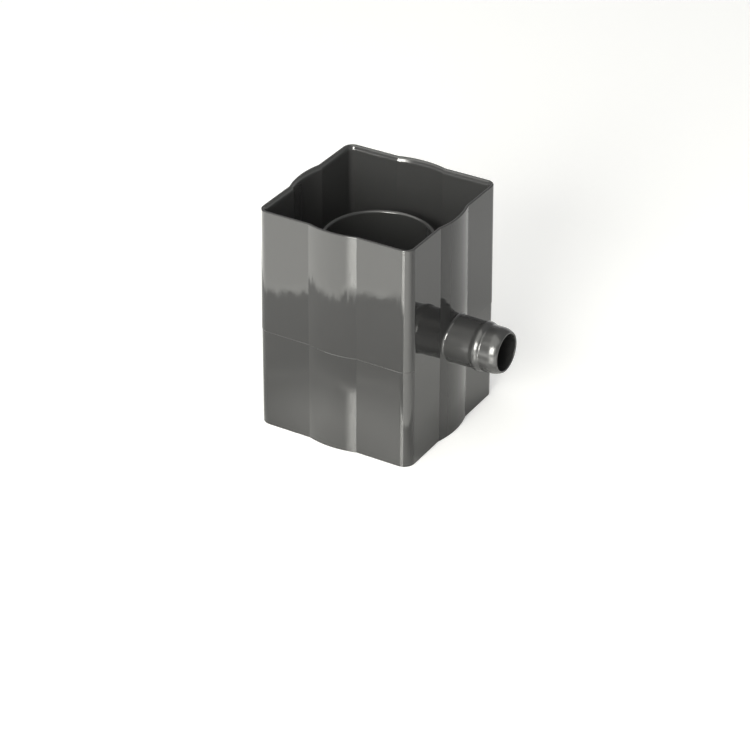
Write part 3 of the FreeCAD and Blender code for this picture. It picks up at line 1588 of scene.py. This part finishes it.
@dataclass(frozen=True)
class ProductCamera:
    """The camera, at the photograph's angle.

    Attributes:
        look_at: The point in the middle of the picture.
        azimuth: Its direction, in degrees from the front towards the spigot's side.
        elevation: Angle above the floor, in degrees.
        roll: Small turn of the camera about its own axis, in degrees.
        distance: Distance to the middle of the picture.
        lens: Focal length, in millimetres on the sensor.
        sensor: Width of the sensor, in millimetres.
        clip: Nearest and farthest distance that it sees.
    """

    look_at: tuple[float, float, float] = (9.21 * MM, -17.72 * MM, 27.01 * MM)
    azimuth: float = 30.73
    elevation: float = 31.148
    roll: float = 0.148
    distance: float = 1102.085 * MM
    lens: float = 130.3
    sensor: float = 36.0
    clip: Pair = (0.05, 50.0)

    def build(self) -> None:
        """Makes the camera and sets it as the scene's own."""
        data = bpy.data.cameras.new("product_camera")
        data.sensor_width = self.sensor
        data.lens = self.lens
        data.clip_start, data.clip_end = self.clip
        camera = add_object("product_camera", data)
        back = direction(self.azimuth, self.elevation)
        facing = (-back).to_track_quat("-Z", "Y").to_matrix()
        rolled = facing @ Matrix.Rotation(math.radians(self.roll), 3, "Z")
        place = Vector(self.look_at) + back * self.distance
        camera.matrix_world = Matrix.Translation(place) @ rolled.to_4x4()
        bpy.context.scene.camera = camera


@dataclass(frozen=True)
class Studio:
    """The floor, the room's light and the lamps.

    Attributes:
        floor_half: Half the side of the floor.
        floor_colour: Colour of the floor's paint.
        polished: Roughness of the floor's varnish.
        matt: Its roughness on a matt ring round the object, and everywhere for the camera.
        matt_from: Distances from the pipe axis between which the ring starts.
        matt_to: Distances between which it ends.
        floor_ior: Index of refraction of the floor's varnish.
        floor_lift: Light that the camera and the gloss see on the floor beside its paint.
        lift_from: Distances from the pipe axis between which that comes up for the gloss. Below them the
            gloss sees a painted shade on the floor round the foot.
        patch: The patch of floor that the matt ring goes round.
        horizon: Brightness of the room at floor level, for the light that falls on things.
        shown_horizon: The same, for the camera and the gloss.
        ceiling: Brightness of the room overhead.
        ceiling_from: Sine of the elevation at which the room has reached the ceiling's level.
        lamps: The lamps, and the lit parts of the floor.
    """

    floor_half: float = 4.0
    floor_colour: tuple[float, float, float] = (0.80, 0.80, 0.785)
    polished: float = 0.10
    matt: float = 1.0
    matt_from: Pair = (0.078, 0.095)
    matt_to: Pair = (0.160, 0.176)
    floor_ior: float = 1.75
    floor_lift: float = 0.37
    lift_from: Pair = (0.030, 0.200)
    patch: FloorPatch = FloorPatch()
    horizon: float = 0.55
    shown_horizon: float = 1.0
    ceiling: float = 0.38
    ceiling_from: float = 0.35
    lamps: tuple[SoftLamp | FloorGlow, ...] = LAMPS

    def build(self) -> None:
        """Makes everything round the object."""
        self._build_floor()
        self._build_room()
        for lamp in self.lamps:
            lamp.build()
        bpy.context.scene.view_settings.view_transform = "Standard"

    def _build_floor(self) -> None:
        """Makes the pale floor, which keeps its shadows and looks white in the camera and the gloss."""
        half = self.floor_half
        mesh = bpy.data.meshes.new("floor")
        corners = [(-half, -half, 0), (half, -half, 0), (half, half, 0), (-half, half, 0)]
        mesh.from_pydata(corners, [], [(0, 1, 2, 3)])
        floor = add_object("floor", mesh)
        paint = bpy.data.materials.new("floor_paint")
        paint.use_nodes = True
        nodes = Nodes(paint.node_tree)
        seen = self._seen(nodes)
        camera_ray = nodes.add("ShaderNodeLightPath").outputs["Is Camera Ray"]
        shader = paint.node_tree.nodes["Principled BSDF"]
        shader.inputs["Base Color"].default_value = (*self.floor_colour, 1.0)
        place = nodes.add("ShaderNodeTexCoord").outputs["Object"]
        distance, _, reach = self.patch.measure(nodes, place)
        rough = nodes.fade(distance, self.matt_from, (self.polished, self.matt))
        smooth = nodes.fade(reach, self.matt_to, (self.matt, self.polished))
        roughness = nodes.math("MAXIMUM", nodes.math("MINIMUM", rough, smooth), camera_ray)
        paint.node_tree.links.new(roughness, shader.inputs["Roughness"])
        shader.inputs["IOR"].default_value = self.floor_ior
        shader.inputs["Emission Color"].default_value = (1.0, 1.0, 1.0, 1.0)
        # Painted shade: for the gloss, the lift fades out towards the foot, so the reflected floor is darker
        # round the object.
        far_or_camera = nodes.math("ADD", distance, camera_ray)
        lift = nodes.math("MULTIPLY", seen, nodes.fade(far_or_camera, self.lift_from, (0.0, self.floor_lift)))
        paint.node_tree.links.new(lift, shader.inputs["Emission Strength"])
        mesh.materials.append(paint)

    def _seen(self, nodes: Nodes) -> Socket:
        """Adds what tells rays apart.

        Args:
            nodes: Adds the nodes.

        Returns:
            1 for the rays of the camera and the gloss, and 0 for the light that falls on things.
        """
        path = nodes.add("ShaderNodeLightPath").outputs
        seen = nodes.math("MAXIMUM", path["Is Camera Ray"], path["Is Glossy Ray"])
        return nodes.math("MAXIMUM", seen, path["Is Transmission Ray"])

    def _build_room(self) -> None:
        """Makes a room that is pale round the floor and dim overhead."""
        world = bpy.data.worlds.new("studio_room")
        bpy.context.scene.world = world
        world.use_nodes = True
        nodes = Nodes(world.node_tree)
        place = nodes.add("ShaderNodeTexCoord").outputs["Generated"]
        height = nodes.add("ShaderNodeSeparateXYZ", {0: place}).outputs["Z"]
        added = self.shown_horizon - self.horizon
        horizon = nodes.math("MULTIPLY_ADD", self._seen(nodes), added, self.horizon)
        light = nodes.fade(height, (0.0, self.ceiling_from), (horizon, self.ceiling))
        background = world.node_tree.nodes["Background"]
        world.node_tree.links.new(light, background.inputs["Strength"])
        background.inputs["Color"].default_value = (1.0, 1.0, 1.0, 1.0)


def main() -> None:
    """Builds the diverter, the studio and the camera."""
    logging.basicConfig(level=logging.INFO, format="%(name)s: %(message)s")
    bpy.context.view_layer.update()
    _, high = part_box(BODY_NODE)
    walls = Walls(height=high.z, reach=high.y)
    weir = Weir(rim=high.z)
    spigot = Spigot(tip=high.x, axis_height=walls.parting_height)
    ribs = StopRibs(
        rim=high.z, foot=weir.floor, weir_radius=weir.radius, wall_reach=walls.inner.corner_reach,
    )
    plastics = (POLISHED_PLASTIC, CORE_SIDE_PLASTIC_PAINTED_LIGHTER, SATIN_PLASTIC_PAINTED_LIGHTER, RIM_PLASTIC_PAINTED_LIGHTER)
    finishes = [plastic.build() for plastic in plastics]
    body = DiverterBody(walls, weir, spigot, ribs).build(finishes)
    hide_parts(BODY_NODE)
    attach(body, ROOT_BODY)
    log.info("%s: %d faces", body.name, len(body.data.polygons))
    ProductCamera().build()
    Studio().build()


if __name__ == "__main__":
    main()
